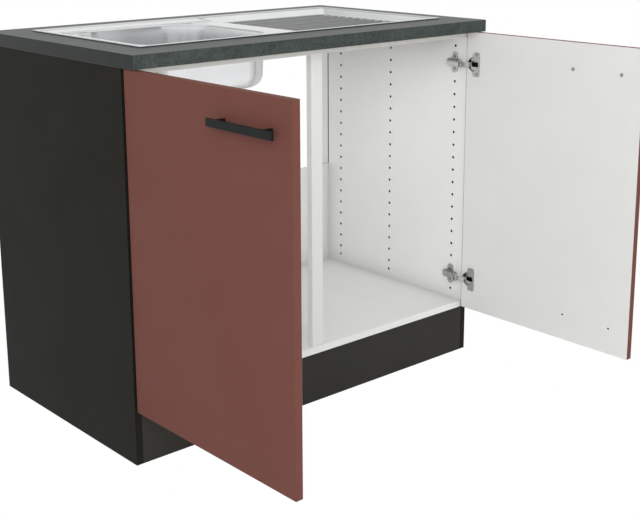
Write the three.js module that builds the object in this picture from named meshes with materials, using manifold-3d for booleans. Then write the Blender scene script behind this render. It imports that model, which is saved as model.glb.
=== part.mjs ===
// Kitchen sink base unit: a two-door carcass with a worktop, an inset steel sink with
// drainer, a basket waste, and doors hung on concealed cup hinges. Millimetres, +Z up.
// X runs along the unit from its left end, Y from the front to the wall. The origin is on
// the floor, in the middle of the plinth board. The doors stand open at a right angle.

import * as THREE from 'three';
import { mergeVertices } from 'three/addons/utils/BufferGeometryUtils.js';
import Module from 'manifold-3d';

const wasm = await Module();
wasm.setup();

// ---------------------------------------------------------------- driving dimensions

// Carcass
const BOARD = 16;
const UNIT_WIDTH = 1000;
const CARCASS_DEPTH = 556;
const CARCASS_HEIGHT = 820;
const PLINTH_HEIGHT = 116;
const FRONT_RAIL_DEPTH = 50;
const REAR_RAIL_HEIGHT = 100;
const POST_WIDTH = 32;
const POST_SETBACK = 4.5;

// Low back panel in its grooves
const BACK_PANEL_THICKNESS = 3;
const BACK_PANEL_TOP = 410;
const GROOVE_WIDTH = 3.4;
const GROOVE_DEPTH = 8;
const GROOVE_BACK = 50;

// Rows of 5 mm system holes on the inner faces of the side panels
const HOLE_RADIUS = 2.6;
const HOLE_DEPTH = 10;
const HOLE_PITCH = 32;
const HOLE_COLUMNS = [37, 261, 453];
const FIRST_ROW = 180;
const ROW_COUNT = 19;
const END_ROW_STEP = 24;

// Worktop
const WORKTOP_DEPTH = 600;
const WORKTOP_THICKNESS = 28;
const CUTOUT_WIDTH = 840;
const CUTOUT_DEPTH = 415;
const CUTOUT_CORNER = 12;

// Sink, an inset pressed from sheet
const SINK_WIDTH = 860;
const SINK_DEPTH = 435;
const SINK_OFFSET_X = 6;
const SINK_FRONT = 47;
const SINK_CORNER = 3;
const SHEET = 1;
const SEAL_THICKNESS = 0.7;
const RIM_HEIGHT = 1.6;
const RIM_WIDTH = 7;
const RIM_SLOPE = 2.5;
const LEDGE_STEP = 3;
const BOWL = { left: -394, right: -54, front: 64, back: 400, bottom: 732, corner: 85 };
const BOWL_DRAFT = 6;
const BOWL_FLOOR_RADIUS = 26;
const BOWL_LIP = 5;
const SURROUND = { left: -404, right: 66, front: 60, back: 404, corner: 22 };
const PAN = { left: 5, right: 422, front: 66, back: 464, corner: 20 };
const PAN_FLOOR = { left: 55, right: 408, front: 82, back: 448, depth: 15 };
const RIB_COUNT = 12;
const RIB_PITCH = 27.5;
const RIB_WIDTH = 13;
const RIB_HEIGHT = 3.5;
const RIB_LEFT = 72;
const RIB_RIGHT = 390;

// Basket waste in the floor of the bowl
const WASTE_RECESS_RADIUS = 58;
const WASTE_RECESS_DEPTH = 3;
const WASTE_HOLE_RADIUS = 46;
const WASTE_BODY_HEIGHT = 50;
const WASTE_OUTLET_RADIUS = 23;
const WASTE_OUTLET_LENGTH = 32;
const BASKET_SLOTS = 12;

// Doors, measured from the hinge axis that the cup hinges work about
const DOOR_WIDTH = 495.5;
const DOOR_HEIGHT = 700;
const DOOR_BOTTOM = 118;
const DOOR_GAP = 3.5;
const DOOR_REVEAL = 2;
const HINGE_AXIS_IN = 10.6;
const HINGE_AXIS_OUT = 12.8;

// Bar handles
const HANDLE_LENGTH = 179;
const HANDLE_HEIGHT = 15;
const HANDLE_PROJECTION = 22;
const HANDLE_BAR = 5;
const HANDLE_HOLES = 128;
const HANDLE_FROM_TOP = 60.5;
const HANDLE_FROM_EDGE = 117;
const FOOT_WIDTH = 7;
const FOOT_FLARE = 8;

// Concealed cup hinges
const HINGE_HEIGHTS = { lower: 196, upper: 740 };
const CUP_RADIUS = 17.5;
const CUP_DEPTH = 11.5;
const CUP_FROM_EDGE = 22.5;
const CUP_WALL = 1;
const FLANGE_THICKNESS = 1.2;
const FLANGE_LENGTH = 60;
const FLANGE_WIDTH = 22;
const PLATE_Y = 37;
const PLATE_SCREW_PITCH = 32;
const LINK_PIVOT = { inward: 21, back: 1.8 };
const LINK_LENGTH = 27;
const LINK_BOW = 6;
const LINK_ANGLE = -50;
const LINK_HALF_WIDTH = 5;

// ---------------------------------------------------------------- derived dimensions

const HALF_WIDTH = UNIT_WIDTH / 2;
const INNER_HALF = HALF_WIDTH - BOARD;
const SHELF_TOP = PLINTH_HEIGHT + BOARD;
const GROOVE_Y = CARCASS_DEPTH - GROOVE_BACK;
const WORKTOP_TOP = CARCASS_HEIGHT + WORKTOP_THICKNESS;
const WORKTOP_FRONT = CARCASS_DEPTH - WORKTOP_DEPTH;
const PLATE_UNDER = WORKTOP_TOP + SEAL_THICKNESS;
const PLATE_TOP = PLATE_UNDER + SHEET;
const SINK_MID_Y = SINK_FRONT + SINK_DEPTH / 2;
const BOWL_MID_X = (BOWL.left + BOWL.right) / 2;
const BOWL_MID_Y = (BOWL.front + BOWL.back) / 2;
const WASTE_SEAT = BOWL.bottom - WASTE_RECESS_DEPTH;
const HINGE_AXIS = { x: HALF_WIDTH - HINGE_AXIS_IN, y: -HINGE_AXIS_OUT };
const DOOR_INNER_X = HINGE_AXIS.x - (HINGE_AXIS_OUT - DOOR_GAP);
const DOOR_EDGE_Y = HINGE_AXIS.y + HINGE_AXIS_IN - DOOR_REVEAL;
const HANDLE_Z = DOOR_BOTTOM + DOOR_HEIGHT - HANDLE_FROM_TOP;
const HANDLE_Y = DOOR_EDGE_Y - DOOR_WIDTH + HANDLE_FROM_EDGE;
const CUP_Y = DOOR_EDGE_Y - CUP_FROM_EDGE;

// ---------------------------------------------------------------- solid helpers

function toSolid(geometry) {
  const bare = geometry.clone();
  bare.deleteAttribute('normal');
  bare.deleteAttribute('uv');
  const merged = mergeVertices(bare, 1e-4);
  const vertProperties = new Float32Array(merged.attributes.position.array);
  const triVerts = new Uint32Array(merged.index.array);
  return new wasm.Manifold(new wasm.Mesh({ numProp: 3, vertProperties, triVerts }));
}

function toGeometry(solid) {
  const mesh = solid.getMesh();
  const geometry = new THREE.BufferGeometry();
  geometry.setAttribute('position', new THREE.BufferAttribute(mesh.vertProperties, 3));
  geometry.setIndex(new THREE.BufferAttribute(mesh.triVerts, 1));
  geometry.computeVertexNormals();
  return geometry;
}

function join(...geometries) {
  const [first, ...rest] = geometries.map(toSolid);
  return toGeometry(rest.reduce((all, next) => all.add(next), first));
}

function cut(base, ...tools) {
  return toGeometry(tools.map(toSolid).reduce((left, tool) => left.subtract(tool), toSolid(base)));
}

// A box between two corners.
function block(x0, x1, y0, y1, z0, z1) {
  const box = new THREE.BoxGeometry(x1 - x0, y1 - y0, z1 - z0);
  return box.translate((x0 + x1) / 2, (y0 + y1) / 2, (z0 + z1) / 2);
}

// A cylinder from one point along +X, +Y or +Z.
function rod(axis, radius, length, x, y, z, sides) {
  const cylinder = new THREE.CylinderGeometry(radius, radius, length, sides);
  cylinder.translate(0, length / 2, 0);
  if (axis === 'x') cylinder.rotateZ(-Math.PI / 2);
  if (axis === 'z') cylinder.rotateX(Math.PI / 2);
  return cylinder.translate(x, y, z);
}

// A flat plate of a shape drawn in X and Y, between two heights.
function slab(shape, z0, z1, curveSegments = 6) {
  const plate = new THREE.ExtrudeGeometry(shape, { depth: z1 - z0, bevelEnabled: false, curveSegments });
  return plate.translate(0, 0, z0);
}

function roundedRect(left, right, front, back, radius) {
  const shape = new THREE.Shape();
  shape.moveTo(left + radius, front);
  shape.lineTo(right - radius, front);
  shape.absarc(right - radius, front + radius, radius, -Math.PI / 2, 0);
  shape.lineTo(right, back - radius);
  shape.absarc(right - radius, back - radius, radius, 0, Math.PI / 2);
  shape.lineTo(left + radius, back);
  shape.absarc(left + radius, back - radius, radius, Math.PI / 2, Math.PI);
  shape.lineTo(left, front + radius);
  shape.absarc(left + radius, front + radius, radius, Math.PI, Math.PI * 1.5);
  return shape;
}

// A solid of revolution about +Z from [radius, height] pairs, which start and end on the
// axis or else close on themselves.
function turned(profile, sides) {
  const points = profile.map(([radius, height]) => new THREE.Vector2(radius, height));
  if (points[0].x > 0) points.push(points[0].clone());
  return new THREE.LatheGeometry(points, sides).rotateX(Math.PI / 2);
}

// Turns a piece drawn flat, with its face up, to stand on the right-hand side panel or door
// with that face towards the cabinet: drawn x runs back along +Y, and drawn y along -Z.
function facingCabinet(geometry) {
  const back = new THREE.Vector3(0, 1, 0);
  const down = new THREE.Vector3(0, 0, -1);
  const inward = new THREE.Vector3(-1, 0, 0);
  return geometry.applyMatrix4(new THREE.Matrix4().makeBasis(back, down, inward));
}

// The same piece for the other hand of the unit.
function mirrored(geometry) {
  const copy = geometry.clone().scale(-1, 1, 1);
  const index = copy.index.array;
  for (let i = 0; i < index.length; i += 3) {
    [index[i], index[i + 1]] = [index[i + 1], index[i]];
  }
  copy.computeVertexNormals();
  return copy;
}

// ---------------------------------------------------------------- finishes

const FINISHES = {
  white: { color: 0xd9d9d7, roughness: 0.55, metalness: 0 },
  graphite: { color: 0x2e2c28, roughness: 0.6, metalness: 0 },
  stone: { color: 0x4a5351, roughness: 0.5, metalness: 0 },
  clay: { color: 0x744c45, roughness: 0.6, metalness: 0 },
  steel: { color: 0xc4c6c8, roughness: 0.28, metalness: 1 },
  nickel: { color: 0xb5b5b3, roughness: 0.3, metalness: 1 },
  black: { color: 0x1d1f20, roughness: 0.5, metalness: 0.4 },
  rubber: { color: 0x2a2a2a, roughness: 0.8, metalness: 0 },
  plastic: { color: 0x303030, roughness: 0.55, metalness: 0 },
};

const unit = new THREE.Group();
const carcass = new THREE.Group();
carcass.position.y = -BOARD / 2;
unit.add(carcass);

function add(name, geometry, finish, parent = carcass) {
  const mesh = new THREE.Mesh(geometry, new THREE.MeshStandardMaterial(FINISHES[finish]));
  mesh.name = name;
  parent.add(mesh);
  return mesh;
}

// ---------------------------------------------------------------- carcass

function systemHoles() {
  const rows = Array.from({ length: ROW_COUNT }, (_, i) => FIRST_ROW + i * HOLE_PITCH);
  const heights = [FIRST_ROW - END_ROW_STEP, ...rows, rows[ROW_COUNT - 1] + END_ROW_STEP];
  const inside = 1;
  return HOLE_COLUMNS.flatMap((y) =>
    heights.map((z) => rod('x', HOLE_RADIUS, HOLE_DEPTH + inside, INNER_HALF - inside, y, z, 8)));
}

// The right-hand side panel, drilled and grooved on its inner face.
function sidePanel() {
  const panel = block(INNER_HALF, HALF_WIDTH, 0, CARCASS_DEPTH, 0, CARCASS_HEIGHT);
  const groove = block(
    INNER_HALF - 1, INNER_HALF + GROOVE_DEPTH,
    GROOVE_Y - GROOVE_WIDTH / 2, GROOVE_Y + GROOVE_WIDTH / 2,
    -1, CARCASS_HEIGHT + 1);
  return cut(panel, groove, ...systemHoles());
}

function bottomShelf() {
  const shelf = block(-INNER_HALF, INNER_HALF, 0, CARCASS_DEPTH, PLINTH_HEIGHT, SHELF_TOP);
  const groove = block(
    -INNER_HALF - 1, INNER_HALF + 1,
    GROOVE_Y - GROOVE_WIDTH / 2, GROOVE_Y + GROOVE_WIDTH / 2,
    SHELF_TOP - GROOVE_DEPTH, SHELF_TOP + 1);
  return cut(shelf, groove);
}

function backPanel() {
  const reach = INNER_HALF + GROOVE_DEPTH - 0.5;
  const half = BACK_PANEL_THICKNESS / 2;
  return block(-reach, reach, GROOVE_Y - half, GROOVE_Y + half, SHELF_TOP - GROOVE_DEPTH, BACK_PANEL_TOP);
}

function worktop() {
  const midX = SINK_OFFSET_X;
  const opening = roundedRect(
    midX - CUTOUT_WIDTH / 2, midX + CUTOUT_WIDTH / 2,
    SINK_MID_Y - CUTOUT_DEPTH / 2, SINK_MID_Y + CUTOUT_DEPTH / 2, CUTOUT_CORNER);
  const board = block(
    -HALF_WIDTH, HALF_WIDTH, WORKTOP_FRONT, CARCASS_DEPTH, CARCASS_HEIGHT, WORKTOP_TOP);
  return cut(board, slab(opening, CARCASS_HEIGHT - 1, WORKTOP_TOP + 1));
}

const rightPanel = sidePanel();
const railBottom = CARCASS_HEIGHT - BOARD;
add('side_panel_right', rightPanel, 'graphite');
add('side_panel_left', mirrored(rightPanel), 'graphite');
add('plinth_board', block(-INNER_HALF, INNER_HALF, 0, BOARD, 0, PLINTH_HEIGHT), 'graphite');
add('bottom_shelf', bottomShelf(), 'white');
add('back_panel', backPanel(), 'white');
add('front_rail', block(-INNER_HALF, INNER_HALF, 0, FRONT_RAIL_DEPTH, railBottom, CARCASS_HEIGHT), 'white');
add('rear_rail', block(
  -INNER_HALF, INNER_HALF, GROOVE_Y + GROOVE_WIDTH, GROOVE_Y + GROOVE_WIDTH + BOARD,
  CARCASS_HEIGHT - REAR_RAIL_HEIGHT, CARCASS_HEIGHT), 'white');
add('centre_post', block(
  -POST_WIDTH / 2, POST_WIDTH / 2, POST_SETBACK, POST_SETBACK + BOARD, SHELF_TOP, railBottom), 'white');
add('worktop', worktop(), 'stone');

// ---------------------------------------------------------------- sink

// A pressed hollow as a solid: the top outline narrows to the floor outline, and the floor
// runs into the walls with a radius. It stands above the sheet by that radius. A smooth one
// has finely stepped curves.
function hollow(top, floor, corner, zTop, zFloor, floorRadius, grow, smooth) {
  const radius = floorRadius + grow;
  const outline = roundedRect(
    top.left - grow, top.right + grow, top.front - grow, top.back + grow, corner + grow);
  const height = zTop - (zFloor - grow);
  const solid = new THREE.ExtrudeGeometry(outline, {
    depth: height - radius,
    bevelEnabled: true,
    bevelThickness: radius,
    bevelSize: radius,
    bevelOffset: -radius,
    bevelSegments: smooth ? 4 : 1,
    curveSegments: smooth ? 4 : 2,
  });
  solid.translate(0, 0, zFloor - grow + radius);
  const position = solid.attributes.position;
  for (let i = 0; i < position.count; i += 1) {
    const down = THREE.MathUtils.clamp((zTop - position.getZ(i)) / (zTop - zFloor), 0, 1);
    const x = THREE.MathUtils.mapLinear(position.getX(i), top.left, top.right, floor.left, floor.right);
    const y = THREE.MathUtils.mapLinear(position.getY(i), top.front, top.back, floor.front, floor.back);
    position.setX(i, THREE.MathUtils.lerp(position.getX(i), x, down));
    position.setY(i, THREE.MathUtils.lerp(position.getY(i), y, down));
  }
  return solid;
}

function bowlHollow(grow) {
  const floor = {
    left: BOWL.left + BOWL_DRAFT,
    right: BOWL.right - BOWL_DRAFT,
    front: BOWL.front + BOWL_DRAFT,
    back: BOWL.back - BOWL_DRAFT,
  };
  return hollow(BOWL, floor, BOWL.corner, PLATE_TOP, BOWL.bottom, BOWL_FLOOR_RADIUS, grow, true);
}

// The round lip where the surround runs over into the bowl.
function bowlLip(grow) {
  const wide = {
    left: BOWL.left - BOWL_LIP,
    right: BOWL.right + BOWL_LIP,
    front: BOWL.front - BOWL_LIP / 2,
    back: BOWL.back + BOWL_LIP / 2,
  };
  const zTop = PLATE_TOP - LEDGE_STEP;
  return hollow(wide, BOWL, BOWL.corner + BOWL_LIP, zTop, zTop - 2 * BOWL_LIP, 0.5, grow, true);
}

function surroundHollow(grow) {
  return hollow(SURROUND, SURROUND, SURROUND.corner, PLATE_TOP, PLATE_TOP - LEDGE_STEP, 1, grow, false);
}

function panHollow(grow) {
  return hollow(PAN, PAN_FLOOR, PAN.corner, PLATE_TOP, PLATE_TOP - PAN_FLOOR.depth, 3, grow, false);
}

// Half-round drainer ribs with round ends, or with a negative growth their hollow backs.
function ribs(grow) {
  const floorZ = PLATE_TOP - PAN_FLOOR.depth;
  const middle = (PAN.front + PAN.back) / 2;
  const half = RIB_WIDTH / 2 + grow;
  const height = RIB_HEIGHT + grow;
  return Array.from({ length: RIB_COUNT }, (_, i) => {
    const y = middle + (i - (RIB_COUNT - 1) / 2) * RIB_PITCH;
    const bar = new THREE.CapsuleGeometry(half, RIB_RIGHT - RIB_LEFT - RIB_WIDTH, 2, 8);
    bar.rotateZ(Math.PI / 2).scale(1, 1, height / half);
    return bar.translate((RIB_LEFT + RIB_RIGHT) / 2, y, floorZ);
  });
}

function sinkOutline(inset, corner = SINK_CORNER) {
  return roundedRect(
    SINK_OFFSET_X - SINK_WIDTH / 2 + inset, SINK_OFFSET_X + SINK_WIDTH / 2 - inset,
    SINK_FRONT + inset, SINK_FRONT + SINK_DEPTH - inset, corner);
}

// The flat inside the raised rim: a thin cutter with sloping sides.
function rimField() {
  const field = new THREE.ExtrudeGeometry(sinkOutline(RIM_WIDTH), {
    depth: 2,
    bevelEnabled: true,
    bevelThickness: RIM_HEIGHT,
    bevelSize: RIM_SLOPE,
    bevelOffset: -RIM_SLOPE,
    bevelSegments: 1,
    curveSegments: 3,
  });
  return field.translate(0, 0, PLATE_TOP + RIM_HEIGHT);
}

function sink() {
  const wasteX = BOWL_MID_X;
  const wasteY = BOWL_MID_Y;
  const rimTop = PLATE_TOP + RIM_HEIGHT;
  const plate = slab(sinkOutline(0), WORKTOP_TOP + 0.1, rimTop, 3);
  const underside = slab(sinkOutline(3), WORKTOP_TOP - 1, PLATE_UNDER, 3);
  const recess = rod('z', WASTE_RECESS_RADIUS + SHEET, 8, wasteX, wasteY, WASTE_SEAT - SHEET, 24);
  let body = cut(join(cut(plate, underside), cut(
    join(bowlHollow(SHEET), bowlLip(SHEET), surroundHollow(SHEET), panHollow(SHEET), recess),
    block(-HALF_WIDTH, HALF_WIDTH, 0, CARCASS_DEPTH, PLATE_UNDER + SHEET / 2, WORKTOP_TOP + 60))));
  body = cut(body, rimField(), bowlHollow(0), bowlLip(0), surroundHollow(0), panHollow(0));
  body = cut(body, rod('z', WASTE_RECESS_RADIUS, 20, wasteX, wasteY, WASTE_SEAT, 24));
  body = cut(join(body, cut(join(...ribs(0)), belowPanFloor())), ...ribs(-SHEET));
  return cut(body, rod('z', WASTE_HOLE_RADIUS, 30, wasteX, wasteY, WASTE_SEAT - 20, 24));
}

// All that lies under the middle of the sheet in the floor of the drainer.
function belowPanFloor() {
  const sheetMiddle = PLATE_TOP - PAN_FLOOR.depth - SHEET / 2;
  return block(PAN.left, PAN.right, PAN.front, PAN.back, sheetMiddle - 2 * RIB_WIDTH, sheetMiddle);
}

function sinkSeal() {
  const ring = sinkOutline(4, 2);
  ring.holes.push(sinkOutline(9.5, 2));
  return slab(ring, WORKTOP_TOP, PLATE_UNDER, 2);
}

add('sink', sink(), 'steel');
add('sink_seal', sinkSeal(), 'rubber');

// A sheet-steel clip hooked on the sink's rim plate: its screw presses a foot up under the
// worktop. Drawn with its back against the edge of the cut-out, foot towards +Y.
function sinkClamp() {
  const gap = 2;
  const strap = block(-9, 9, -gap - 1.5, -gap, CARCASS_HEIGHT - 14, PLATE_UNDER);
  const base = block(-9, 9, -gap - 1.5, 22, CARCASS_HEIGHT - 14, CARCASS_HEIGHT - 12.5);
  const screw = rod('z', 2.5, 24, 0, 12, CARCASS_HEIGHT - 26, 8);
  const foot = rod('z', 6, 1.5, 0, 12, CARCASS_HEIGHT - 2, 12);
  return join(strap, base, screw, foot);
}

function addClamps() {
  const front = SINK_MID_Y - CUTOUT_DEPTH / 2;
  const back = SINK_MID_Y + CUTOUT_DEPTH / 2;
  const left = SINK_OFFSET_X - CUTOUT_WIDTH / 2;
  const right = SINK_OFFSET_X + CUTOUT_WIDTH / 2;
  const places = [
    ['left_front', left, front + 110, 90],
    ['left_rear', left, back - 110, 90],
    ['right_front', right, front + 110, -90],
    ['right_rear', right, back - 110, -90],
    ['rear_left', -200, back, 0],
    ['rear_right', 212, back, 0],
  ];
  places.forEach(([place, x, y, turn]) => {
    const clamp = add(`sink_clamp_${place}`, sinkClamp(), 'steel');
    clamp.position.set(x, y, 0);
    clamp.rotation.z = THREE.MathUtils.degToRad(turn);
  });
}

addClamps();

// ---------------------------------------------------------------- basket waste

const waste = new THREE.Group();
waste.position.set(BOWL_MID_X, BOWL_MID_Y, WASTE_SEAT);
carcass.add(waste);

// Steel ring in the recess of the bowl, with a neck down through the hole and a ledge in it.
function wasteFlange() {
  return turned([
    [41, -9], [44.8, -9], [44.8, 0], [WASTE_RECESS_RADIUS - 2, 0],
    [WASTE_RECESS_RADIUS - 3, 1.2], [44.5, 1.6], [42.8, 0], [42.8, -3.1], [41, -3.1],
  ], 24);
}

function wasteSeal() {
  return turned([
    [WASTE_HOLE_RADIUS, -4], [WASTE_RECESS_RADIUS - 2, -4],
    [WASTE_RECESS_RADIUS - 2, -SHEET], [WASTE_HOLE_RADIUS, -SHEET],
  ], 24);
}

// Moulded cup under the bowl: a clamping collar, a tapered chamber and a threaded outlet.
function wasteBody() {
  const bottom = -4 - WASTE_BODY_HEIGHT;
  const outletEnd = bottom - WASTE_OUTLET_LENGTH;
  const chamber = turned([
    [WASTE_OUTLET_RADIUS - 3, outletEnd], [WASTE_OUTLET_RADIUS, outletEnd],
    [WASTE_OUTLET_RADIUS, bottom - 3], [36, bottom], [43, bottom + 8], [47.5, -12],
    [WASTE_RECESS_RADIUS - 2, -12], [WASTE_RECESS_RADIUS - 2, -4], [45.4, -4],
    [45.4, -14], [40.5, bottom + 9], [34, bottom + 3], [WASTE_OUTLET_RADIUS - 3, bottom],
  ], 24);
  const threads = [6, 14].map((up) => turned([
    [WASTE_OUTLET_RADIUS - 1, outletEnd + up], [WASTE_OUTLET_RADIUS + 1.2, outletEnd + up + 1.2],
    [WASTE_OUTLET_RADIUS + 1.2, outletEnd + up + 2], [WASTE_OUTLET_RADIUS - 1, outletEnd + up + 3.2],
  ], 24));
  return join(chamber, ...threads);
}

// Lift-out strainer: a slotted cup with a knob on its stem.
function strainerBasket() {
  const cup = turned([
    [0, -24], [30, -24], [37, -20], [40.3, -3], [42.2, -3], [42.2, -2], [39.6, -2],
    [36.2, -19], [29.6, -23], [4, -23], [4, -8], [9, -6], [9, -2], [6, -1], [0, -1],
  ], 24);
  const slots = Array.from({ length: BASKET_SLOTS }, (_, i) => {
    const slot = block(14, 27, -1.5, 1.5, -26, -20);
    return slot.rotateZ((i * 2 * Math.PI) / BASKET_SLOTS);
  });
  return cut(cup, ...slots);
}

add('waste_flange', wasteFlange(), 'steel', waste);
add('waste_seal', wasteSeal(), 'rubber', waste);
add('waste_body', wasteBody(), 'plastic', waste);
add('strainer_basket', strainerBasket(), 'steel', waste);

// ---------------------------------------------------------------- doors and handles

// The right-hand door, open: its inner face towards the cabinet, its free edge in front.
function doorBoard() {
  const inner = DOOR_INNER_X;
  const board = block(
    inner, inner + BOARD, DOOR_EDGE_Y - DOOR_WIDTH, DOOR_EDGE_Y, DOOR_BOTTOM, DOOR_BOTTOM + DOOR_HEIGHT);
  const cups = Object.values(HINGE_HEIGHTS).map((z) =>
    rod('x', CUP_RADIUS + 0.3, CUP_DEPTH + 1.5, inner - 1, CUP_Y, z, 20));
  const screwYs = [HANDLE_Y - HANDLE_HOLES / 2, HANDLE_Y + HANDLE_HOLES / 2];
  const through = screwYs.map((y) => rod('x', 2.4, BOARD + 2, inner - 1, y, HANDLE_Z, 12));
  const spareZ = 2 * DOOR_BOTTOM + DOOR_HEIGHT - HANDLE_Z;
  const spare = screwYs.map((y) => rod('x', 2.4, 12 + 1, inner - 1, y, spareZ, 12));
  return cut(board, ...cups, ...through, ...spare);
}

// The handle's plan, the door at x = 0: a flat bar whose two feet flare into it on the inside.
function handlePlan() {
  const back = HANDLE_PROJECTION - HANDLE_BAR;
  const outer = HANDLE_HOLES / 2 + FOOT_WIDTH / 2;
  const inner = HANDLE_HOLES / 2 - FOOT_WIDTH / 2;
  const end = HANDLE_LENGTH / 2;
  const plan = new THREE.Shape();
  plan.moveTo(HANDLE_PROJECTION, -end);
  plan.lineTo(HANDLE_PROJECTION, end);
  plan.lineTo(back, end);
  plan.lineTo(back, outer);
  plan.lineTo(0, outer);
  plan.lineTo(0, inner);
  plan.lineTo(back - FOOT_FLARE, inner);
  plan.quadraticCurveTo(back, inner, back, inner - FOOT_FLARE);
  plan.lineTo(back, FOOT_FLARE - inner);
  plan.quadraticCurveTo(back, -inner, back - FOOT_FLARE, -inner);
  plan.lineTo(0, -inner);
  plan.lineTo(0, -outer);
  plan.lineTo(back, -outer);
  plan.lineTo(back, -end);
  return plan;
}

function handle() {
  const bar = slab(handlePlan(), -HANDLE_HEIGHT / 2, HANDLE_HEIGHT / 2, 5);
  const tapped = [-1, 1].map((end) => rod('x', 1.9, 13, -1, (end * HANDLE_HOLES) / 2, 0, 8));
  return cut(bar, ...tapped);
}

// Pan-head screw from inside the door into the foot of the handle.
function handleScrew() {
  const head = turned([[0, -2.4], [2.6, -2.2], [3.9, -1.2], [4, 0], [0, 0]], 16);
  const shank = rod('z', 1.6, BOARD + 10, 0, 0, -0.5, 8);
  return join(head, shank).rotateY(Math.PI / 2);
}

function addDoor(hand, sign) {
  const handed = (geometry) => (sign > 0 ? geometry : mirrored(geometry));
  add(`door_${hand}`, handed(doorBoard()), 'clay');
  const grip = add(`handle_${hand}`, handed(handle()), 'black');
  grip.position.set(sign * (DOOR_INNER_X + BOARD), HANDLE_Y, HANDLE_Z);
  ['front', 'rear'].forEach((place, i) => {
    const screw = add(`handle_screw_${hand}_${place}`, handed(handleScrew()), 'nickel');
    screw.position.set(sign * DOOR_INNER_X, HANDLE_Y + (i - 0.5) * HANDLE_HOLES, HANDLE_Z);
  });
}

addDoor('right', 1);
addDoor('left', -1);

// ---------------------------------------------------------------- cup hinges
// Right-hand pieces. The origin of each hinge is on the inner face of the side panel, at the
// carcass front, at the hinge's middle height: +X into the board, -X into the cabinet.

// Profile in X (minus is away from the panel) and Y, as a plate of some height about z = 0.
function profile(points, halfHeight) {
  const shape = new THREE.Shape(points.map(([x, y]) => new THREE.Vector2(x, y)));
  return slab(shape, -halfHeight, halfHeight);
}

// Winged mounting plate: two eared tabs with their screw holes, and a raised middle.
function mountingPlate() {
  const earRadius = 9;
  const earReach = 26;
  const ears = new THREE.Shape();
  ears.absarc(PLATE_Y, earReach - earRadius, earRadius, 0, Math.PI);
  ears.absarc(PLATE_Y, earRadius - earReach, earRadius, Math.PI, 2 * Math.PI);
  const tab = facingCabinet(slab(ears, 0, 2.4, 5));
  const middle = profile([[0, 17], [0, 55], [-3.6, 55], [-5, 53], [-5, 19], [-3.6, 17]], 8);
  const holes = [-1, 1].map((end) => rod('x', 2.7, 6, -5, PLATE_Y, (end * PLATE_SCREW_PITCH) / 2, 12));
  return cut(join(tab, middle), ...holes);
}

// Arm: a pressed channel that climbs to its two pivot cheeks, on a wider rounded foot.
function hingeArm() {
  const outside = profile([
    [-5.4, 22], [-5.4, 54], [-9, 57], [-11.5, 50], [-13.5, 24],
    [-23.6, 8], [-23.6, 1], [-21.5, -1], [-19, -1], [-17.4, 2], [-12, 12],
  ], 7.6);
  const inside = profile([
    [0, 16], [0, 60], [-7.6, 60], [-10, 50], [-12, 24],
    [-17.6, 15.4], [-25, 3.5], [-25, -4], [-12, -4],
  ], 5.9);
  const footPlan = new THREE.Shape();
  footPlan.moveTo(24, -10.5);
  footPlan.lineTo(47, -10.5);
  footPlan.absarc(47, 0, 10.5, -Math.PI / 2, Math.PI / 2);
  footPlan.lineTo(24, 10.5);
  const foot = facingCabinet(slab(footPlan, 5.05, 7, 5));
  const pivotHole = rod('z', 1.95, 20, -LINK_PIVOT.inward, LINK_PIVOT.back, -10, 12);
  return cut(join(cut(outside, inside), foot), pivotHole);
}

// Bowed link on its pivot pin. It is drawn lying along +X and then turned into place.
function hingeLink() {
  const half = LINK_HALF_WIDTH;
  const steps = 6;
  const bow = (t) => 4 * LINK_BOW * t * (1 - t);
  const side = (offset) => Array.from({ length: steps + 1 }, (_, i) => {
    const t = i / steps;
    return [t * LINK_LENGTH, offset - bow(t)];
  });
  const bar = profile([...side(-1.2), ...side(1.2).reverse()], half);
  const barrel = rod('z', 2.6, 2 * half, 0, 0, -half, 12);
  const pin = rod('z', 1.6, 15, 0, 0, -7.5, 12);
  const end = rod('z', 1.6, 2 * half, LINK_LENGTH, 0, -half, 12);
  return join(bar, barrel, pin, end).rotateZ(THREE.MathUtils.degToRad(LINK_ANGLE));
}

// Cup with its screw-on flange; the flange lies on the door's inner face, the cup goes in.
function hingeCup() {
  const pot = turned([
    [0, -CUP_DEPTH], [CUP_RADIUS - 1, -CUP_DEPTH], [CUP_RADIUS, 1 - CUP_DEPTH],
    [CUP_RADIUS, FLANGE_THICKNESS], [CUP_RADIUS - CUP_WALL, FLANGE_THICKNESS],
    [CUP_RADIUS - CUP_WALL, CUP_WALL - CUP_DEPTH], [0, CUP_WALL - CUP_DEPTH],
  ], 20);
  const far = CUP_RADIUS + 1.2;
  const flange = slab(roundedRect(
    3 - FLANGE_WIDTH, 3, -FLANGE_LENGTH / 2, FLANGE_LENGTH / 2, 4), 0, FLANGE_THICKNESS, 3);
  const collar = rod('z', far, FLANGE_THICKNESS, 0, 0, 0, 20);
  const mouth = rod('z', CUP_RADIUS - CUP_WALL, 6, 0, 0, -3, 20);
  const screwHoles = [-24, 24].map((y) => rod('z', 2.2, 4, -9.5, y, -1, 10));
  return facingCabinet(join(pot, cut(join(flange, collar), mouth, ...screwHoles)));
}

function addHinge(hand, sign, level) {
  const z = HINGE_HEIGHTS[level];
  const handed = (geometry) => (sign > 0 ? geometry : mirrored(geometry));
  const place = (piece, geometry, x, y) => {
    const mesh = add(`hinge_${piece}_${hand}_${level}`, handed(geometry), 'nickel');
    mesh.position.set(sign * x, y, z);
  };
  place('plate', mountingPlate(), INNER_HALF, 0);
  place('arm', hingeArm(), INNER_HALF, 0);
  place('link', hingeLink(), INNER_HALF - LINK_PIVOT.inward, LINK_PIVOT.back);
  place('cup', hingeCup(), DOOR_INNER_X, CUP_Y);
}

Object.keys(HINGE_HEIGHTS).forEach((level) => {
  addHinge('right', 1, level);
  addHinge('left', -1, level);
});

export default unit;
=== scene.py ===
import math

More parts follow.
